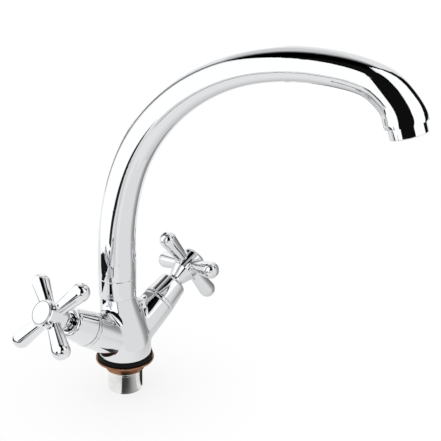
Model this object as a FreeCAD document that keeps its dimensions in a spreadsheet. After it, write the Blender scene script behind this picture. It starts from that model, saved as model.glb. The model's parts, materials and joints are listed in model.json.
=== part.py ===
import FreeCAD, Part
import Sketcher
import math
import os

# Two-handle kitchen mixer tap with a swivelling swan-neck spout.
# Millimetres, +Z up. The origin is on the shank's axis in the plane of the sink deck.
# The handles stand along -X (hot) and +X (cold), and the front is -Y.

doc = FreeCAD.newDocument("KitchenMixerTap")

# Driving dimensions: millimetres, and degrees for tilts and turns
dimensions = {
    # fits shared by all pieces
    "fit_gap": 0.05,
    "seam_gap": 0.15,
    "overrun": 1.0,
    # fixing shank with its two hose inlets
    "shank_radius": 14.0,
    "shank_depth": 27.5,
    "shank_engagement": 8.0,
    "shank_relief": 0.3,
    "shank_chamfer": 1.2,
    "inlet_radius": 4.5,
    "inlet_depth": 12.0,
    "inlet_offset": 6.6,
    "waterway_radius": 3.2,
    # centring flange and gasket on the deck
    "flange_radius": 23.5,
    "flange_thickness": 1.5,
    "flange_hub_radius": 15.8,
    "flange_hub_depth": 8.4,
    "flange_edge": 0.5,
    "gasket_radius": 22.4,
    "gasket_thickness": 3.5,
    "gasket_edge": 0.6,
    # cast body: a column that leans back to the spout, and two arms
    "body_base_radius": 21.1,
    "body_foot_height": 13.0,
    "body_foot_radius": 20.6,
    "body_waist_height": 30.0,
    "body_waist_radius": 17.6,
    "body_top_radius": 14.3,
    "body_height": 48.1,
    "body_blend_share": 0.5474,
    "spout_setback": 8.0,
    "arm_height": 8.25,
    "arm_tilt_angle": 33.9,
    "arm_start": 10.0,
    "arm_length": 43.4,
    "arm_root_radius": 15.2,
    "arm_end_radius": 14.0,
    "arm_edge": 0.8,
    # spout joint: spigot, captive collar nut, slip rings and tail
    "spigot_radius": 12.4,
    "spigot_height": 9.4,
    "socket_clearance": 2.0,
    "collar_radius": 14.86,
    "collar_height": 16.4,
    "collar_edge": 0.8,
    "slip_ring_thickness": 1.0,
    "tail_radius": 9.0,
    "tail_depth": 20.5,
    "tail_bore_radius": 6.5,
    "tail_shoulder_radius": 11.6,
    "tail_shoulder_thickness": 2.0,
    "tail_neck_radius": 9.6,
    "tail_plug_length": 14.0,
    "o_ring_section_radius": 0.8,
    "o_ring_inset": 2.4,
    "o_ring_spacing": 6.0,
    # spout tube: a rise and four bends, each with its radius and angle
    "spout_swivel_angle": 16.0,
    "spout_rise": 20.0,
    "first_bend_radius": 203.5,
    "first_bend_angle": 17.6,
    "second_bend_radius": 143.5,
    "second_bend_angle": 56.3,
    "third_bend_radius": 173.4,
    "third_bend_angle": 27.6,
    "fourth_bend_radius": 41.1,
    "fourth_bend_angle": 59.7,
    "tube_root_radius": 14.9,
    "tube_lower_radius": 13.7,
    "tube_crown_radius": 11.8,
    "tube_slim_radius": 11.6,
    "tube_mouth_radius": 14.0,
    "tube_wall": 2.3,
    # aerator in the spout's mouth
    "aerator_thread_radius": 11.9,
    "aerator_thread_length": 6.0,
    "aerator_ring_radius": 12.4,
    "aerator_ring_length": 7.5,
    "aerator_ring_edge": 0.7,
    "aerator_bore_radius": 10.4,
    "aerator_lip_radius": 9.4,
    "aerator_lip_thickness": 1.2,
    "aerator_washer_thickness": 1.4,
    "aerator_washer_radius": 8.6,
    "aerator_screen_thickness": 1.0,
    "aerator_insert_length": 8.0,
    "aerator_insert_floor": 2.0,
    "aerator_insert_wall": 1.4,
    "screen_hole_radius": 0.9,
    "screen_inner_ring": 3.2,
    "screen_outer_ring": 6.6,
    # quarter-turn ceramic cartridge in each arm
    "bore_depth": 23.4,
    "cartridge_radius": 10.3,
    "cartridge_flange_radius": 11.2,
    "cartridge_flange_thickness": 1.5,
    "cartridge_hex_across": 17.0,
    "cartridge_hex_height": 4.0,
    "cartridge_neck_radius": 6.5,
    "cartridge_neck_length": 11.7,
    "cartridge_port_radius": 2.6,
    "cartridge_groove_depth": 6.0,
    "cartridge_ring_section_radius": 0.65,
    "seal_thickness": 2.0,
    "seal_wall": 1.6,
    "disc_radius": 8.0,
    "disc_thickness": 2.5,
    "disc_port_radius": 2.2,
    "disc_port_offset": 4.0,
    "spindle_radius": 4.0,
    "spindle_dog_thickness": 3.0,
    "spindle_dog_margin": 0.2,
    "spindle_reach": 14.0,
    "spindle_ring_section_radius": 0.5,
    "spindle_ring_depth": 4.0,
    # shroud over each cartridge
    "shroud_length": 22.6,
    "shroud_ring_radius": 14.0,
    "shroud_ring_width": 3.0,
    "shroud_groove_width": 0.8,
    "shroud_groove_depth": 0.7,
    "shroud_root_radius": 13.6,
    "shroud_front_radius": 11.4,
    "shroud_wall": 1.2,
    "shroud_thread_depth": 1.5,
    "shroud_lip_thickness": 3.4,
    "shroud_edge": 0.8,
    "shroud_nose": 3.0,
    # cross handle
    "hot_handle_angle": 8.7,
    "cold_handle_angle": 32.3,
    "handle_gap": 1.0,
    "hub_neck_radius": 6.5,
    "hub_neck_clearance": 0.8,
    "hub_neck_length": 7.0,
    "hub_flare_length": 9.5,
    "hub_radius": 10.4,
    "hub_rim_radius": 9.7,
    "hub_rim_height": 0.6,
    "hub_length": 32.7,
    "hub_web": 4.0,
    "hub_well_radius": 5.0,
    "spoke_height": 23.6,
    "spoke_start": 7.0,
    "spoke_root_radius": 4.8,
    "spoke_tip_distance": 31.0,
    "spoke_tip_radius": 7.0,
    "spoke_blend": 1.2,
    "cap_radius": 9.2,
    "cap_height": 1.3,
    "cap_edge": 1.0,
    "cap_plug_length": 4.0,
    "screw_radius": 2.0,
    "screw_grip": 8.0,
    "screw_head_radius": 3.6,
    "screw_head_height": 2.6,
    "screw_recess_radius": 1.5,
    "screw_recess_depth": 1.6,
}

sheet = doc.addObject("Spreadsheet::Sheet", "Sizes")
for row, (name, number) in enumerate(dimensions.items(), start=1):
    sheet.set(f"A{row}", name)
    sheet.set(f"B{row}", str(number))
    sheet.setAlias(f"B{row}", name)
doc.recompute()


class Size:
    """A length that keeps its number together with its spreadsheet formula."""

    def __init__(self, number, formula):
        self.number = number
        self.formula = formula

    def joined(self, other, sign, number):
        other_formula = other.formula if isinstance(other, Size) else str(other)
        return Size(number, f"({self.formula} {sign} {other_formula})")

    def __float__(self):
        return self.number

    def __add__(self, other):
        return self.joined(other, "+", self.number + float(other))

    def __sub__(self, other):
        return self.joined(other, "-", self.number - float(other))

    def __mul__(self, other):
        return self.joined(other, "*", self.number * float(other))

    def __truediv__(self, other):
        return self.joined(other, "/", self.number / float(other))


class Sizes:
    """The spreadsheet's cells, by alias."""

    def __getattr__(self, alias):
        return Size(float(getattr(sheet, alias)), "Sizes." + alias)


s = Sizes()
full_turn = 360.0
quarter_turn = 90.0
handle_spokes = 4
disc_ports = 2
inner_jets = 6
outer_jets = 12
hexagon_sides = 6

# Levels up the shank's axis and along an arm that several pieces share
body_bottom = s.flange_thickness + s.gasket_thickness
body_top = body_bottom + s.body_height
spigot_top = body_top + s.spigot_height
collar_top = body_top + s.collar_height
tube_bottom = collar_top + s.seam_gap
arm_centre = body_bottom + s.arm_height
shank_plain_radius = s.shank_radius - s.shank_relief
bore_radius = s.cartridge_radius + s.fit_gap
valve_seat = s.arm_length - s.bore_depth
fixed_disc_level = valve_seat + s.seal_thickness
moving_disc_level = fixed_disc_level + s.disc_thickness + s.fit_gap
dog_level = moving_disc_level + s.disc_thickness
cartridge_flange_level = s.arm_length
cartridge_hex_level = cartridge_flange_level + s.cartridge_flange_thickness
cartridge_neck_level = cartridge_hex_level + s.cartridge_hex_height
cartridge_top = cartridge_neck_level + s.cartridge_neck_length
spindle_top = cartridge_top + s.spindle_reach
hub_bottom = cartridge_top + s.handle_gap
web_top = s.spindle_reach - s.handle_gap + s.hub_web


def vector(x, y, z):
    return FreeCAD.Vector(float(x), float(y), float(z))


def raised(height):
    return FreeCAD.Placement(vector(0, 0, height), FreeCAD.Rotation())


def behind(height):
    """On the spout's axis, which stands behind the shank's axis."""
    return FreeCAD.Placement(vector(0, s.spout_setback, height), FreeCAD.Rotation())


def swivelled(height):
    """On the spout's axis, turned with the spout to its rest direction."""
    turn = FreeCAD.Rotation(vector(0, 0, 1), float(s.spout_swivel_angle))
    return FreeCAD.Placement(vector(0, s.spout_setback, height), turn)


def along_arm(side, distance, turn=0):
    """Local +Z runs outwards along an arm: side -1 is hot, side +1 is cold."""
    lean = FreeCAD.Rotation(vector(0, 1, 0), side * (quarter_turn - float(s.arm_tilt_angle)))
    arm = FreeCAD.Placement(vector(0, 0, arm_centre), lean)
    spin = FreeCAD.Rotation(vector(0, 0, 1), float(turn))
    return arm * FreeCAD.Placement(vector(0, 0, distance), spin)


def bind(feature, prop, size):
    feature.setExpression(prop, size.formula)


def new_body(label):
    body = doc.addObject("PartDesign::Body", label)
    body.Label = label
    return body


def origin_item(body, role):
    return next(item for item in body.Origin.OriginFeatures if item.Role == role)


def sketch_on(body, name, role):
    sketch = body.newObject("Sketcher::SketchObject", name)
    sketch.AttachmentSupport = [(origin_item(body, role), "")]
    sketch.MapMode = "FlatFace"
    return sketch


def lift(sketch, axis, size):
    """Shift a sketch from its origin plane along one of its own axes."""
    bind(sketch, "AttachmentOffset.Base." + axis, size)


def place_point(sketch, line, vertex, x, y):
    """Dimension a sketch point from the origin, or hold it on an axis where a size is zero."""
    for kind, axis, size in (("DistanceX", -2, x), ("DistanceY", -1, y)):
        if isinstance(size, Size):
            rule = Sketcher.Constraint(kind, -1, 1, line, vertex, float(size))
            bind(sketch, f"Constraints[{sketch.addConstraint(rule)}]", size)
        else:
            sketch.addConstraint(Sketcher.Constraint("PointOnObject", line, vertex, axis))


def draw_outline(sketch, points):
    corners = [vector(x, y, 0) for x, y in points]
    ends = corners[1:] + corners[:1]
    for start, end in zip(corners, ends):
        sketch.addGeometry(Part.LineSegment(start, end))
    for line in range(len(corners)):
        following = (line + 1) % len(corners)
        sketch.addConstraint(Sketcher.Constraint("Coincident", line, 2, following, 1))
    for line, (x, y) in enumerate(points):
        place_point(sketch, line, 1, x, y)


def draw_circle(sketch, x, y, radius):
    normal = FreeCAD.Vector(0, 0, 1)
    circle = sketch.addGeometry(Part.Circle(vector(x, y, 0), normal, float(radius)))
    place_point(sketch, circle, 3, x, y)
    rule = Sketcher.Constraint("Radius", circle, float(radius))
    bind(sketch, f"Constraints[{sketch.addConstraint(rule)}]", radius)


def revolve(body, sketch, axis):
    turn = body.newObject("PartDesign::Revolution", sketch.Name + "_turn")
    turn.Profile = sketch
    turn.ReferenceAxis = (sketch, [axis])
    turn.Angle = full_turn
    doc.recompute()
    return turn


def edges_at(shape, corners):
    """Names of the circular edges about Z that pass through the given radius and level."""
    names = []
    for number, edge in enumerate(shape.Edges, start=1):
        if not isinstance(edge.Curve, Part.Circle):
            continue
        for radius, level in corners:
            off = abs(edge.Curve.Radius - float(radius)) + abs(edge.Curve.Center.z - float(level))
            if off < float(s.fit_gap):
                names.append(f"Edge{number}")
    return names


def round_edges(body, corners, radius):
    base = body.Tip
    fillet = body.newObject("PartDesign::Fillet", body.Name + f"_round{len(body.Group)}")
    fillet.Base = (base, edges_at(base.Shape, corners))
    bind(fillet, "Radius", radius)
    doc.recompute()


def turned(label, points, placement, rounds=()):
    """A piece turned about its own Z axis, with some of its corners rounded."""
    body = new_body(label)
    sketch = sketch_on(body, label + "_profile", "XZ_Plane")
    draw_outline(sketch, points)
    revolve(body, sketch, "V_Axis")
    for corners, radius in rounds:
        round_edges(body, corners, radius)
    body.Placement = placement
    return body


def ring(label, inner, outer, thickness, placement, rounds=()):
    points = [(inner, 0), (outer, 0), (outer, thickness), (inner, thickness)]
    return turned(label, points, placement, rounds)


def cut_holes(body, name, centres, radius, depth=None):
    """Round holes upwards from the body's XY plane, right through unless a depth is given."""
    sketch = sketch_on(body, name, "XY_Plane")
    for x, y in centres:
        draw_circle(sketch, x, y, radius)
    before = body.Tip.Shape.Volume
    pocket = body.newObject("PartDesign::Pocket", name + "_cut")
    pocket.Profile = sketch
    pocket.Reversed = True
    if depth is None:
        pocket.Type = "ThroughAll"
    else:
        bind(pocket, "Length", depth)
    doc.recompute()
    if pocket.Shape.Volume >= before:
        raise RuntimeError(f"{name} cuts nothing")
    return pocket


def polar_copies(body, feature, count):
    pattern = body.newObject("PartDesign::PolarPattern", feature.Name + "_ring")
    pattern.Originals = [feature]
    pattern.Axis = (origin_item(body, "Z_Axis"), [""])
    pattern.Angle = full_turn
    pattern.Occurrences = count
    body.Tip = pattern
    doc.recompute()


def torus(label, centre_radius, section_radius, placement):
    o_ring = doc.addObject("Part::Torus", label)
    o_ring.Label = label
    bind(o_ring, "Radius1", centre_radius)
    bind(o_ring, "Radius2", section_radius)
    o_ring.Placement = placement
    return o_ring


def cylinder(name, radius, height, placement):
    tool = doc.addObject("Part::Cylinder", name)
    bind(tool, "Radius", radius)
    bind(tool, "Height", height)
    tool.Placement = placement
    return tool


def loft(name, sections):
    """A smooth skin through circles, each given as its radius and placement."""
    circles = []
    for number, (radius, placement) in enumerate(sections):
        circle = doc.addObject("Part::Circle", f"{name}_section{number}")
        bind(circle, "Radius", radius)
        circle.Placement = placement
        circles.append(circle)
    skin = doc.addObject("Part::Loft", name)
    skin.Sections = circles
    skin.Solid = True
    skin.Ruled = False
    doc.recompute()
    return skin


def fuse(name, shapes):
    union = doc.addObject("Part::MultiFuse", name)
    union.Shapes = shapes
    doc.recompute()
    return union


def cut(name, base, tool):
    remainder = doc.addObject("Part::Cut", name)
    remainder.Base = base
    remainder.Tool = tool
    doc.recompute()
    return remainder


def drilling(name, radius, start, end):
    """A straight round passage from one point to another."""
    run = end.sub(start)
    tool = doc.addObject("Part::Cylinder", name)
    bind(tool, "Radius", radius)
    tool.Height = run.Length
    tool.Placement = FreeCAD.Placement(start, FreeCAD.Rotation(vector(0, 0, 1), run))
    return tool


# Deck fixing: shank, centring flange and gasket

def make_shank():
    shank_length = s.shank_depth + body_bottom + s.shank_engagement
    thread_top = s.shank_depth - s.flange_hub_depth
    points = [(0, 0), (s.shank_radius - s.shank_chamfer, 0), (s.shank_radius, s.shank_chamfer),
              (s.shank_radius, thread_top), (shank_plain_radius, thread_top),
              (shank_plain_radius, shank_length), (0, shank_length)]
    placement = FreeCAD.Placement(vector(0, 0, -float(s.shank_depth)), FreeCAD.Rotation())
    shank = turned("mounting_shank", points, FreeCAD.Placement())
    centres = [(s.inlet_offset, 0), (s.inlet_offset * -1, 0)]
    cut_holes(shank, "hose_inlets", centres, s.inlet_radius, s.inlet_depth)
    cut_holes(shank, "shank_waterways", centres, s.waterway_radius)
    shank.Placement = placement
    return shank


def make_flange():
    inner = s.shank_radius + s.fit_gap
    top = s.flange_hub_depth + s.flange_thickness
    points = [(inner, 0), (s.flange_hub_radius, 0), (s.flange_hub_radius, s.flange_hub_depth),
              (s.flange_radius, s.flange_hub_depth), (s.flange_radius, top), (inner, top)]
    placement = FreeCAD.Placement(vector(0, 0, -float(s.flange_hub_depth)), FreeCAD.Rotation())
    rounds = [([(s.flange_radius, top)], s.flange_edge), ([(s.flange_hub_radius, 0)], s.flange_edge)]
    return turned("centring_flange", points, placement, rounds)


def make_gasket():
    inner = s.shank_radius + s.fit_gap
    rounds = [([(s.gasket_radius, 0), (s.gasket_radius, s.gasket_thickness)], s.gasket_edge)]
    return ring("base_gasket", inner, s.gasket_radius, s.gasket_thickness,
                raised(s.flange_thickness), rounds)


# Cast body with its bores and waterways

def make_casting():
    foot = body_bottom + s.body_foot_height
    waist = body_bottom + s.body_waist_height
    lean_share = s.body_waist_height / s.body_height
    waist_place = FreeCAD.Placement(
        vector(0, s.spout_setback * lean_share * lean_share, waist), FreeCAD.Rotation())
    column = loft("body_column", [
        (s.body_base_radius, raised(body_bottom)),
        (s.body_foot_radius, raised(foot)),
        (s.body_waist_radius, waist_place),
        (s.body_top_radius, behind(body_top))])
    arms = []
    for side, name in ((-1, "hot_arm"), (1, "cold_arm")):
        arm = doc.addObject("Part::Cone", name)
        bind(arm, "Radius1", s.arm_root_radius)
        bind(arm, "Radius2", s.arm_end_radius)
        bind(arm, "Height", s.arm_length - s.arm_start)
        arm.Placement = along_arm(side, s.arm_start)
        arms.append(arm)
    whole = fuse("body_mass", [column] + arms)
    return blend_casting(whole)


def blend_casting(whole):
    """Round the seams where the arms grow out of the column, and the arms' outer edges.

    The big round takes its share of the arm's top, from the column's waist to the arm's end."""
    tilt = math.radians(float(s.arm_tilt_angle))
    top_start = (s.body_waist_radius + s.arm_end_radius * math.sin(tilt)) / math.cos(tilt)
    seam_round = (s.arm_length - top_start) * s.body_blend_share
    rounds = []
    for number, edge in enumerate(whole.Shape.Edges, start=1):
        faces = whole.Shape.ancestorsOfType(edge, Part.Face)
        kinds = {type(face.Surface).__name__ for face in faces}
        if "Cone" not in kinds or len(kinds) == 1:
            continue
        radius = float(s.arm_edge if "Plane" in kinds else seam_round)
        rounds.append((number, radius, radius))
    blended = doc.addObject("Part::Fillet", "body_blended")
    blended.Base = whole
    blended.Edges = rounds
    doc.recompute()
    return blended


def make_body():
    spigot = cylinder("body_spigot", s.spigot_radius, s.spigot_height + s.overrun,
                      behind(body_top - s.overrun))
    mass = fuse("body_solid", [make_casting(), spigot])
    socket_depth = s.tail_depth + s.socket_clearance
    socket_floor = spigot_top - socket_depth
    tools = [
        cylinder("shank_socket", shank_plain_radius + s.fit_gap, s.shank_engagement + s.overrun,
                 raised(body_bottom - s.overrun)),
        cylinder("spout_socket", s.tail_radius + s.fit_gap, socket_depth + s.overrun,
                 behind(socket_floor)),
    ]
    underside = cylinder("below_body", s.body_base_radius + s.arm_length, s.arm_length,
                         raised(body_bottom - s.arm_length))
    tools.append(underside)
    shank_top = body_bottom + s.shank_engagement
    chamber = vector(0, s.spout_setback, socket_floor + s.waterway_radius)
    for side, name in ((-1, "hot"), (1, "cold")):
        tools.append(cylinder(name + "_valve_bore", bore_radius, s.bore_depth + s.overrun,
                              along_arm(side, valve_seat)))
        inlet = vector(s.inlet_offset * side, 0, shank_top - s.overrun)
        seat = along_arm(side, valve_seat + s.overrun).Base
        tools.append(drilling(name + "_inlet_passage", s.waterway_radius, inlet, seat))
        valve = along_arm(side, dog_level).Base
        tools.append(drilling(name + "_outlet_passage", s.waterway_radius, valve, chamber))
    body = mass
    for tool in tools:
        body = cut("body_less_" + tool.Name, body, tool)
    body.Label = "mixer_body"
    return body


# Spout joint: the captive collar nut, its slip rings and the spout's tail

def make_spout_joint():
    lower_ring = spigot_top
    shoulder = lower_ring + s.slip_ring_thickness + s.fit_gap
    upper_ring = shoulder + s.tail_shoulder_thickness + s.fit_gap
    ring_outer = s.spigot_radius - s.fit_gap
    neck_hole = s.tail_neck_radius + s.fit_gap
    ring("lower_slip_ring", s.tail_radius + s.fit_gap, ring_outer, s.slip_ring_thickness,
         behind(lower_ring))
    ring("upper_slip_ring", neck_hole, ring_outer, s.slip_ring_thickness, behind(upper_ring))

    thread = s.spigot_radius + s.fit_gap
    crown = upper_ring + s.slip_ring_thickness - body_top
    points = [(thread, 0), (s.collar_radius, 0), (s.collar_radius, s.collar_height),
              (neck_hole, s.collar_height), (neck_hole, crown), (thread, crown)]
    rounds = [([(s.collar_radius, 0), (s.collar_radius, s.collar_height)], s.collar_edge)]
    turned("spout_collar", points, behind(body_top), rounds)

    tail_bottom = spigot_top - s.tail_depth
    shoulder_low = shoulder - tail_bottom
    shoulder_high = shoulder_low + s.tail_shoulder_thickness
    plug_low = tube_bottom - tail_bottom
    plug_high = plug_low + s.tail_plug_length
    plug_radius = s.tube_root_radius - s.tube_wall - s.fit_gap
    section = s.o_ring_section_radius
    groove_floor = s.tail_radius - section * 2 - s.fit_gap
    points = [(s.tail_bore_radius, 0), (s.tail_radius, 0)]
    grooves = (s.o_ring_inset, s.o_ring_inset + s.o_ring_spacing)
    for groove in grooves:
        low, high = groove - section - s.fit_gap, groove + section + s.fit_gap
        points += [(s.tail_radius, low), (groove_floor, low), (groove_floor, high), (s.tail_radius, high)]
    points += [(s.tail_radius, shoulder_low), (s.tail_shoulder_radius, shoulder_low),
               (s.tail_shoulder_radius, shoulder_high), (s.tail_neck_radius, shoulder_high),
               (s.tail_neck_radius, plug_low), (plug_radius, plug_low), (plug_radius, plug_high),
               (s.tail_bore_radius, plug_high)]
    turned("spout_tail", points, swivelled(tail_bottom))
    for name, groove in zip(("spout_o_ring_lower", "spout_o_ring_upper"), grooves):
        torus(name, groove_floor + section, section, swivelled(tail_bottom + groove))


# Spout tube: a tapering swan neck that swells again at its mouth

sections_per_bend = 5
bends = [
    (s.first_bend_radius, s.first_bend_angle, s.tube_root_radius, s.tube_lower_radius),
    (s.second_bend_radius, s.second_bend_angle, s.tube_lower_radius, s.tube_crown_radius),
    (s.third_bend_radius, s.third_bend_angle, s.tube_crown_radius, s.tube_slim_radius),
    (s.fourth_bend_radius, s.fourth_bend_angle, s.tube_slim_radius, s.tube_mouth_radius),
]


def spout_stations():
    """Places along the neck's centre line with the tube's outer radius there.

    In the spout's own frame the neck bends from +Z towards -Y, and local Z runs downstream."""
    facing = FreeCAD.Placement()
    stations = [(s.tube_root_radius, facing)]
    here = facing * raised(s.spout_rise)
    stations.append((s.tube_root_radius, here))
    for bend_radius, turn, start_radius, end_radius in bends:
        pivot = here * FreeCAD.Placement(vector(0, bend_radius * -1, 0), FreeCAD.Rotation())
        for step in range(1, sections_per_bend):
            share = step / (sections_per_bend - 1)
            swing = FreeCAD.Rotation(vector(1, 0, 0), float(turn) * share)
            back_out = FreeCAD.Placement(vector(0, bend_radius, 0), FreeCAD.Rotation())
            place = pivot * FreeCAD.Placement(vector(0, 0, 0), swing) * back_out
            stations.append((start_radius + (end_radius - start_radius) * share, place))
        here = stations[-1][1]
    return stations


def outlet(distance):
    """On the mouth's axis: local +Z points out of the spout."""
    mouth = spout_stations()[-1][1]
    return swivelled(tube_bottom) * mouth * raised(distance)


def make_spout_tube():
    base = swivelled(tube_bottom)
    stations = [(radius, base * place) for radius, place in spout_stations()]
    skin = loft("spout_skin", stations)
    bore_mouth = s.tube_slim_radius - s.tube_wall
    first, last = stations[0][1], stations[-1][1]
    hollow = [(radius - s.tube_wall, place) for radius, place in stations[:-sections_per_bend + 1]]
    hollow += [(bore_mouth, place) for _, place in stations[-sections_per_bend + 1:]]
    seat_depth = s.aerator_thread_length + s.aerator_washer_thickness
    tools = [
        loft("spout_bore", hollow),
        cylinder("tail_seat", s.tube_root_radius - s.tube_wall, s.tail_plug_length + s.overrun,
                 first * FreeCAD.Placement(vector(0, 0, -float(s.overrun)), FreeCAD.Rotation())),
        cylinder("aerator_seat", s.aerator_thread_radius + s.fit_gap, seat_depth + s.overrun,
                 last * FreeCAD.Placement(vector(0, 0, -float(seat_depth)), FreeCAD.Rotation())),
    ]
    tube = cut("spout_tube", skin, fuse("spout_hollow", tools))
    tube.Label = "spout_tube"
    return tube


# Aerator: washer, threaded housing, insert and screen

def make_aerator():
    thread_low = s.aerator_thread_length * -1
    washer_low = thread_low - s.aerator_washer_thickness
    ring("aerator_washer", s.aerator_washer_radius, s.aerator_thread_radius,
         s.aerator_washer_thickness, outlet(washer_low))

    ring_low = s.aerator_thread_length
    ring_high = ring_low + s.aerator_ring_length
    lip = ring_high - s.aerator_lip_thickness
    points = [(s.aerator_bore_radius, 0), (s.aerator_thread_radius, 0),
              (s.aerator_thread_radius, ring_low), (s.aerator_ring_radius, ring_low),
              (s.aerator_ring_radius, ring_high), (s.aerator_lip_radius, ring_high),
              (s.aerator_lip_radius, lip), (s.aerator_bore_radius, lip)]
    rounds = [([(s.aerator_ring_radius, ring_high)], s.aerator_ring_edge)]
    turned("aerator_housing", points, outlet(thread_low), rounds)

    screen_level = thread_low + lip - s.aerator_screen_thickness
    inner_radius = s.aerator_bore_radius - s.fit_gap
    screen = new_body("aerator_screen")
    plate = sketch_on(screen, "screen_profile", "XZ_Plane")
    draw_outline(plate, [(0, 0), (inner_radius, 0), (inner_radius, s.aerator_screen_thickness),
                         (0, s.aerator_screen_thickness)])
    revolve(screen, plate, "V_Axis")
    for name, distance, count in (("inner", s.screen_inner_ring, inner_jets),
                                  ("outer", s.screen_outer_ring, outer_jets)):
        hole = cut_holes(screen, name + "_jets", [(distance, 0)], s.screen_hole_radius)
        polar_copies(screen, hole, count)
    screen.Placement = outlet(screen_level)

    insert_level = screen_level - s.aerator_insert_length
    inside = inner_radius - s.aerator_insert_wall
    points = [(0, 0), (inner_radius, 0), (inner_radius, s.aerator_insert_length),
              (inside, s.aerator_insert_length), (inside, s.aerator_insert_floor),
              (0, s.aerator_insert_floor)]
    insert = turned("aerator_insert", points, FreeCAD.Placement())
    hole = cut_holes(insert, "insert_jets", [(s.screen_outer_ring, 0)], s.screen_hole_radius)
    polar_copies(insert, hole, outer_jets)
    insert.Placement = outlet(insert_level)


# Valves: what stays in the arm, and what turns with the handle

def make_cartridge(label, side):
    chamber_radius = s.disc_radius + s.fit_gap
    stem_hole = s.spindle_radius + s.fit_gap
    chamber = dog_level + s.spindle_dog_thickness + s.fit_gap - fixed_disc_level
    section = s.cartridge_ring_section_radius
    groove_floor = s.cartridge_radius - section * 2
    groove = s.arm_length - s.cartridge_groove_depth - fixed_disc_level
    flange_low = cartridge_flange_level - fixed_disc_level
    flange_high = cartridge_hex_level - fixed_disc_level
    neck_low = cartridge_neck_level - fixed_disc_level
    top = cartridge_top - fixed_disc_level
    points = [(chamber_radius, 0), (s.cartridge_radius, 0), (s.cartridge_radius, groove - section),
              (groove_floor, groove - section), (groove_floor, groove + section),
              (s.cartridge_radius, groove + section), (s.cartridge_radius, flange_low),
              (s.cartridge_flange_radius, flange_low), (s.cartridge_flange_radius, flange_high),
              (s.cartridge_neck_radius, flange_high), (s.cartridge_neck_radius, top),
              (stem_hole, top), (stem_hole, chamber), (chamber_radius, chamber)]
    body = turned(label + "_cartridge", points, FreeCAD.Placement())
    add_hexagon(body, label, flange_high, stem_hole)
    ports = sketch_on(body, label + "_ports", "XZ_Plane")
    draw_circle(ports, 0, dog_level + s.spindle_dog_thickness / 2 - fixed_disc_level,
                s.cartridge_port_radius)
    pocket = body.newObject("PartDesign::Pocket", label + "_ports_cut")
    pocket.Profile = ports
    pocket.Midplane = True
    pocket.Type = "ThroughAll"
    doc.recompute()
    body.Placement = along_arm(side, fixed_disc_level)
    torus(label + "_cartridge_o_ring", groove_floor + section, section,
          along_arm(side, fixed_disc_level + groove))


def add_hexagon(body, label, level, hole_radius):
    """The spanner hexagon above the cartridge's flange, round the spindle's hole."""
    half_flat = s.cartridge_hex_across / 2
    corner = half_flat / math.cos(math.pi / hexagon_sides)
    points = [(corner, 0), (corner / 2, half_flat), (corner / -2, half_flat), (corner * -1, 0),
              (corner / -2, half_flat * -1), (corner / 2, half_flat * -1)]
    sketch = sketch_on(body, label + "_hexagon", "XY_Plane")
    lift(sketch, "z", level)
    draw_outline(sketch, points)
    draw_circle(sketch, 0, 0, hole_radius)
    pad = body.newObject("PartDesign::Pad", label + "_hexagon_pad")
    pad.Profile = sketch
    bind(pad, "Length", s.cartridge_hex_height)
    doc.recompute()


def make_disc(label, level, side, turn):
    """A ceramic disc with two ports; the handle turns one pair over the other."""
    points = [(0, 0), (s.disc_radius, 0), (s.disc_radius, s.disc_thickness), (0, s.disc_thickness)]
    disc = turned(label, points, FreeCAD.Placement())
    port = cut_holes(disc, label + "_port", [(s.disc_port_offset, 0)], s.disc_port_radius)
    polar_copies(disc, port, disc_ports)
    disc.Placement = along_arm(side, level, turn)


def make_spindle(label, side):
    dog_radius = s.disc_radius - s.spindle_dog_margin
    section = s.spindle_ring_section_radius
    groove_floor = s.spindle_radius - section * 2
    groove = cartridge_top - s.spindle_ring_depth - dog_level
    thread_floor = spindle_top - s.screw_grip - s.fit_gap - dog_level
    top = spindle_top - dog_level
    screw_hole = s.screw_radius + s.fit_gap
    points = [(0, 0), (dog_radius, 0), (dog_radius, s.spindle_dog_thickness),
              (s.spindle_radius, s.spindle_dog_thickness), (s.spindle_radius, groove - section),
              (groove_floor, groove - section), (groove_floor, groove + section),
              (s.spindle_radius, groove + section), (s.spindle_radius, top),
              (screw_hole, top), (screw_hole, thread_floor), (0, thread_floor)]
    turned(label + "_spindle", points, along_arm(side, dog_level))
    torus(label + "_spindle_o_ring", groove_floor + section, section,
          along_arm(side, dog_level + groove))


def make_shroud(label, side):
    """The skirt screws onto the cartridge's flange, and its lip closes in on the handle's neck."""
    thread = s.cartridge_flange_radius + s.fit_gap
    opening = s.hub_neck_radius + s.hub_neck_clearance
    groove_top = s.shroud_ring_width + s.shroud_groove_width
    groove_floor = s.shroud_root_radius - s.shroud_groove_depth
    inside = groove_floor - s.shroud_wall
    lip = s.shroud_length - s.shroud_lip_thickness
    points = [(thread, 0), (s.shroud_ring_radius, 0), (s.shroud_ring_radius, s.shroud_ring_width),
              (groove_floor, s.shroud_ring_width), (groove_floor, groove_top),
              (s.shroud_root_radius, groove_top), (s.shroud_front_radius, s.shroud_length),
              (opening, s.shroud_length), (opening, lip), (s.shroud_front_radius - s.shroud_wall, lip),
              (inside, groove_top), (inside, s.shroud_thread_depth), (thread, s.shroud_thread_depth)]
    rounds = [([(s.shroud_ring_radius, 0), (s.shroud_ring_radius, s.shroud_ring_width)], s.shroud_edge),
              ([(s.shroud_front_radius, s.shroud_length)], s.shroud_nose)]
    turned(label + "_shroud", points, along_arm(side, s.arm_length), rounds)


# Cross handle: hub, four swelling spokes, cap and screw

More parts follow.
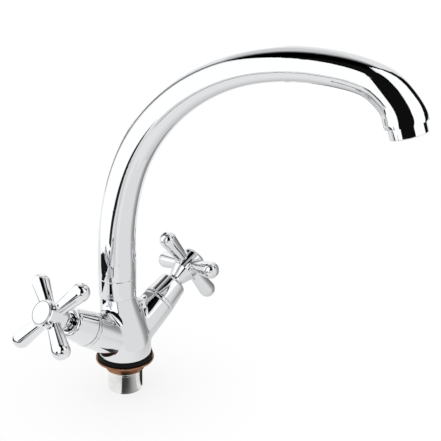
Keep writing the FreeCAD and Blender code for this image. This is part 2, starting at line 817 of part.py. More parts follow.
def draw_spoke(body, label):
    sketch = sketch_on(body, label + "_spoke", "XZ_Plane")
    sideways = FreeCAD.Rotation(vector(0, 1, 0), quarter_turn / 2)
    sketch.AttachmentOffset = FreeCAD.Placement(vector(0, s.spoke_height, 0), sideways)
    lift(sketch, "y", s.spoke_height)
    start, root = float(s.spoke_start), float(s.spoke_root_radius)
    reach, tip = float(s.spoke_tip_distance), float(s.spoke_tip_radius)
    centre = vector(reach, 0, 0)
    ball = Part.Circle(centre, FreeCAD.Vector(0, 0, 1), tip)
    sketch.addGeometry(Part.LineSegment(vector(start, 0, 0), vector(start, root, 0)))
    sketch.addGeometry(Part.LineSegment(vector(start, root, 0), vector(reach, tip, 0)))
    sketch.addGeometry(Part.ArcOfCircle(ball, 0, math.radians(quarter_turn)))
    sketch.addGeometry(Part.LineSegment(vector(reach + tip, 0, 0), vector(start, 0, 0)))
    for rule in (("Coincident", 0, 2, 1, 1), ("Tangent", 1, 2, 2, 2), ("Coincident", 2, 1, 3, 1),
                 ("Coincident", 3, 2, 0, 1), ("PointOnObject", 2, 1, -1)):
        sketch.addConstraint(Sketcher.Constraint(*rule))
    place_point(sketch, 0, 1, s.spoke_start, 0)
    place_point(sketch, 0, 2, s.spoke_start, s.spoke_root_radius)
    place_point(sketch, 2, 3, s.spoke_tip_distance, 0)
    rule = sketch.addConstraint(Sketcher.Constraint("Radius", 2, tip))
    bind(sketch, f"Constraints[{rule}]", s.spoke_tip_radius)
    return sketch


def blend_spokes(body, label):
    """Round the seams where the spokes grow out of the hub."""
    base = body.Tip
    seams = []
    for number, edge in enumerate(base.Shape.Edges, start=1):
        faces = base.Shape.ancestorsOfType(edge, Part.Face)
        kinds = {type(face.Surface).__name__ for face in faces}
        if "Cone" in kinds and not isinstance(edge.Curve, (Part.Circle, Part.Line)):
            seams.append(f"Edge{number}")
    blend = body.newObject("PartDesign::Fillet", label + "_blend")
    blend.Base = (base, seams)
    bind(blend, "Radius", s.spoke_blend)
    doc.recompute()


def make_handle(label, side, turn):
    socket = s.spindle_radius + s.fit_gap
    socket_top = s.spindle_reach - s.handle_gap
    screw_hole = s.screw_radius + s.fit_gap
    flare_top = s.hub_neck_length + s.hub_flare_length
    points = [(socket, 0), (s.hub_neck_radius, 0), (s.hub_neck_radius, s.hub_neck_length),
              (s.hub_radius, flare_top), (s.hub_radius, s.hub_length - s.hub_rim_height),
              (s.hub_rim_radius, s.hub_length), (s.hub_well_radius, s.hub_length),
              (s.hub_well_radius, web_top), (screw_hole, web_top), (screw_hole, socket_top),
              (socket, socket_top)]
    cross = turned(label + "_handle_cross", points, FreeCAD.Placement())
    spoke = revolve(cross, draw_spoke(cross, label), "H_Axis")
    polar_copies(cross, spoke, handle_spokes)
    blend_spokes(cross, label)
    cross.Placement = along_arm(side, hub_bottom, turn)

    plug_radius = s.hub_well_radius - s.fit_gap
    cap_top = s.cap_plug_length + s.cap_height
    points = [(0, 0), (plug_radius, 0), (plug_radius, s.cap_plug_length),
              (s.cap_radius, s.cap_plug_length), (s.cap_radius, cap_top), (0, cap_top)]
    turned(label + "_handle_cap", points,
           along_arm(side, hub_bottom + s.hub_length - s.cap_plug_length, turn),
           [([(s.cap_radius, cap_top)], s.cap_edge)])

    grip = s.screw_grip + s.hub_web
    head_top = grip + s.screw_head_height
    recess = head_top - s.screw_recess_depth
    points = [(0, 0), (s.screw_radius, 0), (s.screw_radius, grip), (s.screw_head_radius, grip),
              (s.screw_head_radius, head_top), (s.screw_recess_radius, head_top),
              (s.screw_recess_radius, recess), (0, recess)]
    turned(label + "_handle_screw", points, along_arm(side, spindle_top - s.screw_grip, turn))


def make_valve(label, side, turn):
    ring(label + "_seat_seal", s.disc_radius - s.seal_wall, s.disc_radius, s.seal_thickness,
         along_arm(side, valve_seat))
    make_disc(label + "_fixed_disc", fixed_disc_level, side, turn)
    make_disc(label + "_moving_disc", moving_disc_level, side, turn + quarter_turn)
    make_cartridge(label, side)
    make_spindle(label, side)
    make_shroud(label, side)
    make_handle(label, side, turn)


make_shank()
make_flange()
make_gasket()
make_body()
make_spout_joint()
make_spout_tube()
make_aerator()
make_valve("hot", -1, float(s.hot_handle_angle))
make_valve("cold", 1, float(s.cold_handle_angle))
doc.recompute()

subpart_names = [
    "mixer_body", "mounting_shank", "centring_flange", "base_gasket",
    "lower_slip_ring", "upper_slip_ring", "spout_collar",
    "spout_tail", "spout_o_ring_lower", "spout_o_ring_upper", "spout_tube",
    "aerator_washer", "aerator_housing", "aerator_screen", "aerator_insert",
]
for side_name in ("hot", "cold"):
    for piece in ("seat_seal", "fixed_disc", "moving_disc", "cartridge", "cartridge_o_ring", "spindle",
                  "spindle_o_ring", "shroud", "handle_cross", "handle_cap", "handle_screw"):
        subpart_names.append(f"{side_name}_{piece}")

for item in doc.Objects:
    if "Invalid" in item.State or "Error" in item.State:
        raise RuntimeError(f"{item.Name} did not rebuild: {item.State}")

subparts = {}
for name in subpart_names:
    shape = doc.getObjectsByLabel(name)[0].Shape
    if shape.isNull() or not shape.isValid() or not shape.Solids:
        raise RuntimeError(f"{name} has no sound shape")
    subparts[name] = shape

os.makedirs("parts", exist_ok=True)
for name, shape in subparts.items():
    shape.exportStep(f"parts/{name}.step")
    print(name, len(shape.Solids), "solid", round(shape.Volume, 1), "mm3")
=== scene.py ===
import json
import math

import bmesh
import bpy
from mathutils import Matrix, Vector

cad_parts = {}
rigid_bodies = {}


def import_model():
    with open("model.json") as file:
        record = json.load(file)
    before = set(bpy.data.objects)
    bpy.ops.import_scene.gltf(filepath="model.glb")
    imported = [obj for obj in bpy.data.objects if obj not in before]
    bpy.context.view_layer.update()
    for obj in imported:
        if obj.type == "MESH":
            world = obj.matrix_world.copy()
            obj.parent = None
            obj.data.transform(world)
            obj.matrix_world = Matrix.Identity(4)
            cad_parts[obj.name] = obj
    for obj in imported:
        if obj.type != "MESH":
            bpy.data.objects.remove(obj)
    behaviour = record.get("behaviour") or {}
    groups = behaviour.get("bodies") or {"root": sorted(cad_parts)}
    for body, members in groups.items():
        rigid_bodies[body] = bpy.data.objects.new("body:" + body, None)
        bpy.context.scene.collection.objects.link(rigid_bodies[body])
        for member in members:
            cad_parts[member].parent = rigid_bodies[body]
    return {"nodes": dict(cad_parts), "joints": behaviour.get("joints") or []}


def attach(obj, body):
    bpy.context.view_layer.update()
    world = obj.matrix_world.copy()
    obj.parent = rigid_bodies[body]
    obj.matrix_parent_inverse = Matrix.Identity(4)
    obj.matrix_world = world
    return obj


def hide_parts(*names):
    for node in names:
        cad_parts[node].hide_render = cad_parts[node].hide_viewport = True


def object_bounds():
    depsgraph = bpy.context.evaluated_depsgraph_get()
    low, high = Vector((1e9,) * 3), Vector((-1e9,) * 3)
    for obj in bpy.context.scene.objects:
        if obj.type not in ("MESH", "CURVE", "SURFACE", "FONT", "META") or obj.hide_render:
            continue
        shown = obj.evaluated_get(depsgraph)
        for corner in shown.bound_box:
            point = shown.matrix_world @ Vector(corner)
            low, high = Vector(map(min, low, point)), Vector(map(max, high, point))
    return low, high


for leftover in list(bpy.data.objects):
    bpy.data.objects.remove(leftover)

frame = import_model()
nodes = frame["nodes"]
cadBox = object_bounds()
mm = 0.001
weld = 0.002 * mm    # corners nearer than this are merged
print("frame: %d CAD nodes" % len(nodes))


def toLinear(hexColour):
    channels = [int(hexColour[i:i + 2], 16) / 255 for i in (1, 3, 5)]
    return [c / 12.92 if c <= 0.04045 else ((c + 0.055) / 1.055) ** 2.4 for c in channels] + [1.0]


def addNode(tree, kind, settings=None, links=None):
    made = tree.nodes.new(kind)
    for name, value in (settings or {}).items():
        if isinstance(name, str) and hasattr(made, name):
            setattr(made, name, value)
        else:
            made.inputs[name].default_value = value
    for name, (source, output) in (links or {}).items():
        tree.links.new(source.outputs[output], made.inputs[name])
    return made


def newMaterial(name):
    material = bpy.data.materials.new(name)
    material.use_nodes = True
    material.node_tree.nodes.clear()
    return material, material.node_tree


# bright chrome plate over a polished casting: a clean mirror with a faint buffing haze
chrome = {
    "plate": "#dedfe1",
    "roughness": (0.02, 0.045),
    "hazePatch": 9 * mm,         # buffing leaves soft patches about this wide
    "hazeSpread": (0.35, 0.7),   # the noise that stands for no haze and full haze
    "ripple": 14 * mm,           # long waves left by the polishing wheel
    "rippleHeight": 0.006 * mm,
}


def makeChrome():
    material, tree = newMaterial("polishedChromePlate")
    place = addNode(tree, "ShaderNodeTexCoord")
    haze = addNode(tree, "ShaderNodeTexNoise", {"Scale": 1 / chrome["hazePatch"], "Detail": 5.0, "Roughness": 0.6},
                   {"Vector": (place, "Object")})
    rough = addNode(tree, "ShaderNodeMapRange", {
        "From Min": chrome["hazeSpread"][0], "From Max": chrome["hazeSpread"][1],
        "To Min": chrome["roughness"][0], "To Max": chrome["roughness"][1]}, {"Value": (haze, "Fac")})
    wave = addNode(tree, "ShaderNodeTexNoise", {"Scale": 1 / chrome["ripple"], "Detail": 1.0},
                   {"Vector": (place, "Object")})
    bump = addNode(tree, "ShaderNodeBump", {"Strength": 1.0, "Distance": chrome["rippleHeight"]},
                   {"Height": (wave, "Fac")})
    shader = addNode(tree, "ShaderNodeBsdfPrincipled", {"Base Color": toLinear(chrome["plate"]), "Metallic": 1.0},
                     {"Roughness": (rough, "Result"), "Normal": (bump, "Normal")})
    addNode(tree, "ShaderNodeOutputMaterial", {}, {"Surface": (shader, "BSDF")})
    return material


# plain metals that were turned on a lathe: fine rings round the axis
turnedMetals = {
    "machinedShank": {"light": "#e9e8e6", "dark": "#dedddb", "roughness": (0.07, 0.16), "ringWidth": 0.4 * mm},
    "copperPlatedFlange": {"light": "#a3785c", "dark": "#78533e", "roughness": (0.16, 0.34),
                           "ringWidth": 0.6 * mm},
    "turnedBrass": {"light": "#d6b169", "dark": "#b58f48", "roughness": (0.2, 0.34), "ringWidth": 0.5 * mm},
    "stainlessSteel": {"light": "#bfc1c3", "dark": "#9fa2a5", "roughness": (0.2, 0.32), "ringWidth": 0.4 * mm},
}
turning = {"cloud": 7 * mm, "ringWeight": 0.45, "toneSpread": (0.55, 0.9), "roughSpread": (0.3, 0.7),
           "ringRelief": 0.35, "ringDepth": 0.02 * mm}


def makeTurnedMetal(name):
    look = turnedMetals[name]
    material, tree = newMaterial(name)
    place = addNode(tree, "ShaderNodeTexCoord")
    axes = addNode(tree, "ShaderNodeSeparateXYZ", {}, {"Vector": (place, "Object")})
    flat = addNode(tree, "ShaderNodeCombineXYZ", {}, {"X": (axes, "X"), "Y": (axes, "Y")})
    radius = addNode(tree, "ShaderNodeVectorMath", {"operation": "LENGTH"}, {0: (flat, "Vector")})
    lathe = addNode(tree, "ShaderNodeCombineXYZ", {}, {"X": (radius, "Value"), "Z": (axes, "Z")})
    rings = addNode(tree, "ShaderNodeTexNoise", {"Scale": 1 / look["ringWidth"], "Detail": 3.0},
                    {"Vector": (lathe, "Vector")})
    cloud = addNode(tree, "ShaderNodeTexNoise", {"Scale": 1 / turning["cloud"], "Detail": 4.0},
                    {"Vector": (place, "Object")})
    mixed = addNode(tree, "ShaderNodeMath", {"operation": "MULTIPLY_ADD", 1: turning["ringWeight"]},
                    {0: (rings, "Fac"), 2: (cloud, "Fac")})
    share = addNode(tree, "ShaderNodeMapRange", {
        "From Min": turning["toneSpread"][0], "From Max": turning["toneSpread"][1]}, {"Value": (mixed, "Value")})
    tone = addNode(tree, "ShaderNodeMix", {
        "data_type": "RGBA", 6: toLinear(look["dark"]), 7: toLinear(look["light"])}, {0: (share, "Result")})
    rough = addNode(tree, "ShaderNodeMapRange", {
        "From Min": turning["roughSpread"][0], "From Max": turning["roughSpread"][1],
        "To Min": look["roughness"][0], "To Max": look["roughness"][1]}, {"Value": (rings, "Fac")})
    bump = addNode(tree, "ShaderNodeBump", {"Strength": turning["ringRelief"], "Distance": turning["ringDepth"]},
                   {"Height": (rings, "Fac")})
    shader = addNode(tree, "ShaderNodeBsdfPrincipled", {"Metallic": 1.0},
                     {"Base Color": (tone, 2), "Roughness": (rough, "Result"), "Normal": (bump, "Normal")})
    addNode(tree, "ShaderNodeOutputMaterial", {}, {"Surface": (shader, "BSDF")})
    return material


# moulded and fired pieces: a fine grain in the surface and a little unevenness in the tone
mouldedStuffs = {
    "mouldedRubber": {"light": "#0a0a0a", "dark": "#050505", "roughness": (0.5, 0.68), "gloss": 0.12,
                      "grain": 0.35 * mm, "grainHeight": 0.02 * mm},
    "aluminaCeramic": {"light": "#f3f0ea", "dark": "#e6e1d8", "roughness": (0.12, 0.2), "gloss": 0.5,
                       "grain": 0.3 * mm, "grainHeight": 0.002 * mm},
    "mouldedNylon": {"light": "#eceae4", "dark": "#dcd9d1", "roughness": (0.36, 0.5), "gloss": 0.5,
                     "grain": 0.4 * mm, "grainHeight": 0.01 * mm},
}
moulding = {"cloud": 5 * mm, "toneSpread": (0.35, 0.65), "roughSpread": (0.3, 0.7), "grainRelief": 0.5}


def makeMoulded(name):
    look = mouldedStuffs[name]
    material, tree = newMaterial(name)
    place = addNode(tree, "ShaderNodeTexCoord")
    grain = addNode(tree, "ShaderNodeTexNoise", {"Scale": 1 / look["grain"], "Detail": 3.0},
                    {"Vector": (place, "Object")})
    cloud = addNode(tree, "ShaderNodeTexNoise", {"Scale": 1 / moulding["cloud"], "Detail": 3.0},
                    {"Vector": (place, "Object")})
    share = addNode(tree, "ShaderNodeMapRange", {
        "From Min": moulding["toneSpread"][0], "From Max": moulding["toneSpread"][1]}, {"Value": (cloud, "Fac")})
    tone = addNode(tree, "ShaderNodeMix", {
        "data_type": "RGBA", 6: toLinear(look["dark"]), 7: toLinear(look["light"])}, {0: (share, "Result")})
    rough = addNode(tree, "ShaderNodeMapRange", {
        "From Min": moulding["roughSpread"][0], "From Max": moulding["roughSpread"][1],
        "To Min": look["roughness"][0], "To Max": look["roughness"][1]}, {"Value": (grain, "Fac")})
    bump = addNode(tree, "ShaderNodeBump", {"Strength": moulding["grainRelief"], "Distance": look["grainHeight"]},
                   {"Height": (grain, "Fac")})
    shader = addNode(tree, "ShaderNodeBsdfPrincipled", {"Specular IOR Level": look["gloss"]},
                     {"Base Color": (tone, 2), "Roughness": (rough, "Result"), "Normal": (bump, "Normal")})
    addNode(tree, "ShaderNodeOutputMaterial", {}, {"Surface": (shader, "BSDF")})
    return material


finishes = {
    "polished_chrome": makeChrome(),
    "machined_shank": makeTurnedMetal("machinedShank"),
    "copper_flange": makeTurnedMetal("copperPlatedFlange"),
    "brass": makeTurnedMetal("turnedBrass"),
    "stainless_steel": makeTurnedMetal("stainlessSteel"),
    "black_rubber": makeMoulded("mouldedRubber"),
    "ceramic": makeMoulded("aluminaCeramic"),
    "nylon": makeMoulded("mouldedNylon"),
}
for node in nodes.values():
    for place in node.material_slots:
        place.material = finishes[place.material.name.split(".")[0]]
print("materials: %d finishes" % len(finishes))


# the shank below the deck, cut with a fine rolled thread, and drilled for the two hoses
shank = {
    "crest": 14.0 * mm, "threadDepth": 0.14 * mm, "pitch": 1.5 * mm, "steps": 10, "segments": 144,
    "bottom": -27.5 * mm, "lead": 0.9 * mm, "mouth": 12.8 * mm, "threadTop": -8.4 * mm,
    "plain": 13.7 * mm, "top": 13 * mm,
    "inlet": 4.5 * mm, "inletDepth": 12 * mm, "inletOffset": 6.6 * mm, "waterway": 3.2 * mm,
    "inletSegments": 48, "levelSlack": 0.01 * mm, "sharpAngle": 42,
}


def rimAt(bm, height):
    return [e for e in bm.edges if e.is_boundary
            and all(abs(v.co.z - height) < shank["levelSlack"] for v in e.verts)]


def drawOn(bm, edges, radius, height, centre=0.0):
    # carries a rim on to a circle of another size or level, and returns the new rim
    made = bmesh.ops.extrude_edge_only(bm, edges=edges)["geom"]
    for vert in (g for g in made if isinstance(g, bmesh.types.BMVert)):
        way = Vector((vert.co.x - centre, vert.co.y, 0)).normalized() * radius
        vert.co = (centre + way.x, way.y, height)
    return [g for g in made if isinstance(g, bmesh.types.BMEdge)]


def makeShank():
    look = shank
    bm = bmesh.new()
    rise = look["pitch"] / look["steps"]
    count = int((look["threadTop"] - look["bottom"]) / rise) + 3 * look["steps"]
    profile = []
    for step in range(count):
        wave = 0.5 - 0.5 * math.cos(2 * math.pi * step / look["steps"])
        height = look["bottom"] - look["pitch"] + step * rise
        profile.append(bm.verts.new((look["crest"] - look["threadDepth"] * wave, 0, height)))
    lines = [bm.edges.new(ends) for ends in zip(profile, profile[1:])]
    bmesh.ops.spin(bm, geom=profile + lines, cent=(0, 0, 0), axis=(0, 0, 1), angle=2 * math.pi,
                   dvec=(0, 0, look["pitch"] / look["segments"]), steps=look["segments"])
    bmesh.ops.remove_doubles(bm, verts=bm.verts[:], dist=weld)
    start = look["bottom"] + look["lead"]
    for height, outward in ((start, -1), (look["threadTop"], 1)):
        bmesh.ops.bisect_plane(bm, geom=bm.verts[:] + bm.edges[:] + bm.faces[:], plane_co=(0, 0, height),
                               plane_no=(0, 0, outward), clear_outer=True)
    mouthRim = drawOn(bm, rimAt(bm, start), look["mouth"], look["bottom"])
    plainRim = drawOn(bm, rimAt(bm, look["threadTop"]), look["plain"], look["threadTop"])
    topRim = drawOn(bm, plainRim, look["plain"], look["top"])
    for side in (-1, 1):
        centre = side * look["inletOffset"]
        hole = bmesh.ops.create_circle(bm, segments=look["inletSegments"], radius=look["inlet"],
                                       matrix=Matrix.Translation((centre, 0, look["bottom"])))["verts"]
        rim = list({e for v in hole for e in v.link_edges})
        mouthRim = mouthRim + rim
        floor = look["bottom"] + look["inletDepth"]
        wall = drawOn(bm, rim, look["inlet"], floor, centre)
        ledge = drawOn(bm, wall, look["waterway"], floor, centre)
        topRim = topRim + drawOn(bm, ledge, look["waterway"], look["top"], centre)
    for rims in (mouthRim, topRim):
        bmesh.ops.triangle_fill(bm, use_beauty=True, use_dissolve=False, edges=rims)
    bmesh.ops.remove_doubles(bm, verts=bm.verts[:], dist=weld)
    bmesh.ops.recalc_face_normals(bm, faces=bm.faces[:])
    mesh = bpy.data.meshes.new("threadedShank")
    bm.to_mesh(mesh)
    bm.free()
    mesh.shade_smooth()
    mesh.set_sharp_from_angle(angle=math.radians(look["sharpAngle"]))
    mesh.materials.append(finishes["machined_shank"])
    piece = bpy.data.objects.new("threadedShank", mesh)
    bpy.context.scene.collection.objects.link(piece)
    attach(piece, "base")
    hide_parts("mounting_shank")
    print("threaded shank: %d faces" % len(mesh.polygons))


makeShank()


# a thin black ring round each index cap, in the black rubber finish: painted shade standing in for the shadow in
# the gap between cap and hub, seen as a dark line on the cap's face
capShadeRing = {"radius": 8.65 * mm, "halfThickness": 0.16 * mm, "sunk": 0.07 * mm,
           "segments": 96, "sectionSegments": 10}


def makeCapShadeRing(body):
    look = capShadeRing
    joint = next(j for j in frame["joints"] if j["child"] == body)
    cap = nodes[body + "_cap"]
    axis, anchor = Vector(joint["axis"]), Vector(joint["pos_m"])
    face = max((cap.matrix_world @ vert.co - anchor).dot(axis) for vert in cap.data.vertices)
    bm = bmesh.new()
    upright = Matrix.Translation((look["radius"], 0, 0)) @ Matrix.Rotation(math.pi / 2, 4, "X")
    section = bmesh.ops.create_circle(bm, segments=look["sectionSegments"], radius=look["halfThickness"],
                                      matrix=upright)
    edges = list({e for v in section["verts"] for e in v.link_edges})
    bmesh.ops.spin(bm, geom=section["verts"] + edges, cent=(0, 0, 0), axis=(0, 0, 1), angle=2 * math.pi,
                   steps=look["segments"], use_merge=True)
    bmesh.ops.remove_doubles(bm, verts=bm.verts[:], dist=weld)
    turned = axis.to_track_quat("Z", "Y").to_matrix().to_4x4()
    bmesh.ops.transform(bm, verts=bm.verts[:],
                        matrix=Matrix.Translation(anchor + axis * (face - look["sunk"])) @ turned)
    bmesh.ops.recalc_face_normals(bm, faces=bm.faces[:])
    mesh = bpy.data.meshes.new(body + "CapShadeRing")
    bm.to_mesh(mesh)
    bm.free()
    mesh.shade_smooth()
    # the black rubber finish on this ring paints the shade of the gap between cap and hub
    mesh.materials.append(finishes["black_rubber"])
    piece = bpy.data.objects.new(body + "CapShadeRing", mesh)
    bpy.context.scene.collection.objects.link(piece)
    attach(piece, body)


for body in ("hot_handle", "cold_handle"):
    makeCapShadeRing(body)
print("cap shade rings: 2")


# the set: a white table and surround, softboxes for the highlights and black flags for the dark lines.
# A corner of two numbers is an azimuth and elevation from the centre: azimuth 0 is the tap's front,
# 90 its cold side. A corner of three is a place in millimetres.
# A fade takes the place of one glow: a direction, the places in mm where it starts and ends, and the glow at each.
# Cards drawn in stand part of the way out from the outlet, and look the same from there.
studioCentre = Vector((0, -30, 120)) * mm
outletPlace = Vector((80, -190, 240)) * mm
cardCuts = 11    # how finely the curved cards are divided
cards = {
    "leftSoftbox": {"glow": 1.36, "panels": (
        ((-215, 80, 14), (-215, 0, 14), (-215, -40, 16), (-215, -60, 38), (-215, -72, 50), (-215, -105, 58),
         (-215, -181, 70), (-215, -184, 190), (-215, -189, 280), (-215, -199, 400), (-215, -205, 440),
         (-215, -50, 455), (-215, 50, 490), (-215, 80, 505)),
        ((-215, 80, 14), (-140, 130, 30), (-140, 130, 470), (-215, 80, 505)),
        ((-140, 130, 30), (-82, 158, 30), (-82, 158, 350), (-104, 146, 419), (-140, 130, 470)),
        ((-82, 158, 30), (-22, 184, 70), (-18, 186, 165), (-46, 171, 240), (-82, 158, 350)))},
    "neckLine": {"glow": 0.02, "panels": (
        ((-214, -44, 88), (-214, -37, 88), (-214, -28, 81), (-214, -23, 72), (-214, -20, 62), (-214, -17, 48),
         (-214, -3, 37), (-214, 10, 28), (-214, -40, 20), (-214, -51, 27), (-214, -69, 32), (-214, -78, 38),
         (-214, -65, 48), (-214, -55, 58), (-214, -53, 71)),
        ((-214, -46, -27), (-214, -110, -27), (-214, -110, -9), (-214, -46, -9)))},
    "lowerCard": {"glow": 0.95, "panels": ((
        (-214.5, -57, 62), (-214.5, -42, 20), (-214.5, -46, -9), (-214.5, -110, -9), (-214.5, -110, 52),
        (-214.5, -80, 54)),)},
    "leftFrame": {"glow": 0.01, "panels": (
        ((-240, -190, -27), (-240, 90, -27), (-240, 90, 50), (-240, -190, 50)),
        ((-240, 90, -27), (-160, 148, -27), (-160, 148, 50), (-240, 90, 50)),
        ((-160, 148, -27), (-95, 178, -27), (-95, 178, 50), (-160, 148, 50)))},
    "frontSoftbox": {"glow": 1.36, "reach": 500, "drawnTo": 0.45, "panels": ((
        (-8, 4), (34, 4), (32.5, 21), (42.5, 31.7), (40.5, 39.2), (31, 63), (28, 66), (18, 71), (5, 73), (-8, 71),
        (-13, 68.4), (-14, 60), (-12.5, 47), (-6.5, 38), (-10, 28.6), (-9, 20)),)},
    "backSoftbox": {"glow": 1.25, "reach": 500, "panels": ((
        (120, 6), (163, 6), (168, 28), (160, 48), (135, 52), (120, 40)),)},
    "cameraFlag": {"glow": 0.006, "reach": 506, "panels": ((
        (-95, -20), (-7, -20), (-7, 10), (-5, 43), (-10, 65), (-40, 68), (-95, 60)),)},
    "ceilingFlag": {"fade": ((0.878, 0.479, 0), -35, 115, 0.0, 0.8), "reach": 512, "panels": ((
        (-152, 56), (-105, 56), (-80, 50), (-64, 45), (-40, 60), (-20, 63), (-10, 69), (5, 72), (20, 70), (32, 64),
        (48, 66), (75, 69), (100, 60), (130, 56), (170, 56), (-168, 56)),)},
    "armFlag": {"glow": 0.006, "reach": 506, "drawnTo": 0.45, "panels": ((
        (5, 72), (18, 70), (26, 65), (38, 38), (39, 31.7), (30, 21), (30, 10), (34, 5), (60, 5), (72, 9), (80, 16),
        (75, 24.5), (61, 44), (50, 60), (40, 69), (24, 75.5), (5, 77)),)},
    "rightFlag": {"glow": 0.22, "reach": 510, "panels": (((76, -18), (118, -18), (118, 4), (76, 4)),)},
    "backFlag": {"glow": 0.27, "reach": 514, "panels": ((
        (158, -10), (171, -10), (179, 9), (-177, 18.5), (-170, 27.6), (-163, 38.6), (-157, 47.3), (-148, 57),
        (-168, 57), (-173.5, 47.3), (-177.5, 38.6), (177, 27.6), (170, 18.5), (165.5, 9)),)},
    "fillCard": {"fade": ((1, 0, 0), 90, 195, 0.95, 0.2), "panels": (
        ((-150, -145, 78), (-110, -157, 60), (-106, -159, -25), (-30, -180, -25), (-30, -180, 116),
         (-150, -145, 105)),
        ((-30, -180, -25), (150, -100, -25), (150, -100, 116), (-30, -180, 116)),
        ((150, -100, -25), (175, -20, -25), (175, -20, 116), (150, -100, 116)))},
    "armLine": {"glow": 0.01, "panels": (((172, -62, 118), (178, -28, 118), (178, -28, 172), (172, -62, 172)),)},
    "mouthLine": {"glow": 0.25, "panels": (((24, -150, 172), (29, -148, 172), (29, -148, 216), (24, -150, 216)),)},
    "farFlag": {"fade": ((0, 0, 1), 95, 150, 0.42, 0.02), "panels": (
        ((24, 62, 100), (85, 62, 100), (85, 62, 186), (24, 62, 186)),)},
    # these two sheets lie on and beside the table and are seen only in reflections; the first dims from 1.02 to
    # 0.68 towards +x and the second glows 0.8 at the front-left: painted shade standing in for the table's falloff
    # in brightness
    "floorShadeCard": {"fade": ((1, 0, 0), -60, 200, 1.02, 0.68), "panels": (
        ((-240, -260, -27), (260, -260, -27), (260, 260, -27), (-130, 260, -27), (-205, 205, -27),
         (-240, 125, -27)),)},
    "floorShadeEnd": {"glow": 0.8, "panels": (
        ((-150, -360, -27.2), (-150, -110, -27.2), (-360, -110, -27.2), (-360, -360, -27.2)),
        ((-238, -190, -27), (-238, -45, -27), (-238, -66, 2), (-238, -100, 22), (-238, -190, 42)))},
    # these two dark sheets stand round the shank's foot and are seen only in reflections: painted shade standing
    # in for the table's shadow round the shank; the first lightens from 0.04 to 0.55 towards +x
    "shankShadeSheet": {"fade": ((1, 0, 0), -16, 6, 0.04, 0.55), "panels": (
        ((-12.7, -8, -26.8), (-26, -16, -26.8), (-16, -26.5, -26.8), (-2, -31, -26.8), (10, -29, -26.8),
         (4.5, -13.7, -26.8), (-1, -14.4, -26.8), (-7.5, -12.4, -26.8)),
        ((-26, -16, -26.8), (-16, -26.5, -26.8), (-16, -26.5, -12), (-26, -16, -12)),
        ((-16, -26.5, -26.8), (-2, -31, -26.8), (-2, -31, -12), (-16, -26.5, -12)),
        ((-2, -31, -26.8), (10, -29, -26.8), (10, -29, -12), (-2, -31, -12)))},
    "shankShadeEdge": {"glow": 0.02, "panels": (
        ((10.6, -9.8, -26.8), (23, -21, -26.8), (31, 0, -26.8), (22, 21, -26.8), (10.6, 9.6, -26.8),
         (14.5, 0, -26.8)),
        ((23, -21, -26.8), (31, 0, -26.8), (31, 0, -12), (23, -21, -12)),
        ((31, 0, -26.8), (22, 21, -26.8), (22, 21, -12), (31, 0, -12)))},
}


def makeCard(name):
    look = cards[name]
    bm = bmesh.new()
    for panel in look["panels"]:
        corners = []
        for corner in panel:
            if len(corner) == 2:
                a, e = math.radians(corner[0]), math.radians(corner[1])
                way = Vector((math.sin(a) * math.cos(e), -math.cos(a) * math.cos(e), math.sin(e)))
                corners.append(bm.verts.new(studioCentre + way * look["reach"] * mm))
            else:
                corners.append(bm.verts.new(Vector(corner) * mm))
        bm.faces.new(corners)
    bmesh.ops.triangulate(bm, faces=bm.faces[:])
    if "reach" in look:    # curved round the tap, so that each card keeps its own distance
        bmesh.ops.subdivide_edges(bm, edges=bm.edges[:], cuts=cardCuts, use_grid_fill=True)
        for vert in bm.verts:
            vert.co = studioCentre + (vert.co - studioCentre).normalized() * look["reach"] * mm
            vert.co = outletPlace.lerp(vert.co, look.get("drawnTo", 1))
    mesh = bpy.data.meshes.new(name)
    bm.to_mesh(mesh)
    bm.free()
    card = bpy.data.objects.new(name, mesh)
    bpy.context.scene.collection.objects.link(card)
    material, tree = newMaterial(name + "Cloth")
    if "fade" in look:
        way, start, end, startGlow, endGlow = look["fade"]
        place = addNode(tree, "ShaderNodeTexCoord")
        along = addNode(tree, "ShaderNodeVectorMath", {"operation": "DOT_PRODUCT", 1: way}, {0: (place, "Object")})
        fade = addNode(tree, "ShaderNodeMapRange", {
            "interpolation_type": "SMOOTHSTEP", "From Min": start * mm, "From Max": end * mm,
            "To Min": startGlow, "To Max": endGlow}, {"Value": (along, "Value")})
        glow = addNode(tree, "ShaderNodeEmission", {}, {"Strength": (fade, "Result")})
    else:
        glow = addNode(tree, "ShaderNodeEmission", {"Strength": look["glow"]})
    addNode(tree, "ShaderNodeOutputMaterial", {}, {"Surface": (glow, "Emission")})
    mesh.materials.append(material)
    card.visible_camera = False
    card.visible_diffuse = False
    card.visible_shadow = False


for cardName in cards:
    makeCard(cardName)

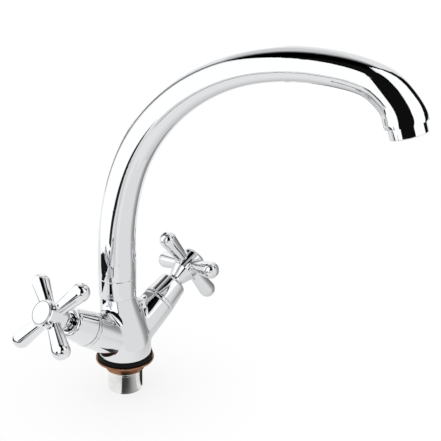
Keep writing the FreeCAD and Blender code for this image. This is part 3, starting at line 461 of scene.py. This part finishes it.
# the white table: its shadow stays near the shank, and it whitens out into the surround
table = {"radius": 280 * mm, "segments": 96, "shade": 0.98, "whiteFrom": 40 * mm, "whiteTo": 150 * mm,
         "shadowLeft": 0.28}
bm = bmesh.new()
bmesh.ops.create_circle(bm, cap_ends=True, segments=table["segments"], radius=table["radius"],
                        matrix=Matrix.Translation((0, 0, cadBox[0].z)))
floorMesh = bpy.data.meshes.new("tableTop")
bm.to_mesh(floorMesh)
bm.free()
floor = bpy.data.objects.new("tableTop", floorMesh)
bpy.context.scene.collection.objects.link(floor)
floorMaterial, tree = newMaterial("whiteTable")
place = addNode(tree, "ShaderNodeTexCoord")
away = addNode(tree, "ShaderNodeVectorMath", {"operation": "LENGTH"}, {0: (place, "Object")})
whiten = addNode(tree, "ShaderNodeMapRange", {
    "interpolation_type": "SMOOTHSTEP", "From Min": table["whiteFrom"], "From Max": table["whiteTo"],
    "To Min": 1 - table["shadowLeft"], "To Max": 1.0}, {"Value": (away, "Value")})
matt = addNode(tree, "ShaderNodeBsdfDiffuse", {"Color": [table["shade"]] * 3 + [1.0]})
white = addNode(tree, "ShaderNodeEmission", {"Strength": 1.0})
mixed = addNode(tree, "ShaderNodeMixShader", {},
                {0: (whiten, "Result"), 1: (matt, "BSDF"), 2: (white, "Emission")})
addNode(tree, "ShaderNodeOutputMaterial", {}, {"Surface": (mixed, "Shader")})
floorMesh.materials.append(floorMaterial)

world = bpy.data.worlds.new("whiteSurround")
bpy.context.scene.world = world
world.use_nodes = True
world.node_tree.nodes.clear()
surround = addNode(world.node_tree, "ShaderNodeBackground", {"Color": (1, 1, 1, 1), "Strength": 1.0})
addNode(world.node_tree, "ShaderNodeOutputWorld", {}, {"Surface": (surround, "Background")})

# the camera, fitted to the photograph's viewpoint
lens = {"azimuth": -47.067, "elevation": 19.999, "roll": 1.554, "focal": 71.977, "sensor": 36,
        "nearest": 10 * mm, "place": Vector((-415.02, -488.18, 351.88)) * mm}
turn, rise, roll = (math.radians(lens[k]) for k in ("azimuth", "elevation", "roll"))
back = Vector((math.sin(turn) * math.cos(rise), -math.cos(turn) * math.cos(rise), math.sin(rise)))
level = Vector((math.cos(turn), math.sin(turn), 0))
upright = back.cross(level)
imageRight = level * math.cos(roll) + upright * math.sin(roll)
imageUp = upright * math.cos(roll) - level * math.sin(roll)
cameraData = bpy.data.cameras.new("productCamera")
cameraData.lens = lens["focal"]
cameraData.sensor_width = lens["sensor"]
cameraData.clip_start = lens["nearest"]
camera = bpy.data.objects.new("productCamera", cameraData)
aim = Matrix((imageRight, imageUp, back)).transposed().to_4x4()
camera.matrix_world = Matrix.Translation(lens["place"]) @ aim
bpy.context.scene.collection.objects.link(camera)
bpy.context.scene.camera = camera
bpy.context.scene.view_settings.view_transform = "Standard"
print("set: %d cards, table, surround and camera" % len(cards))
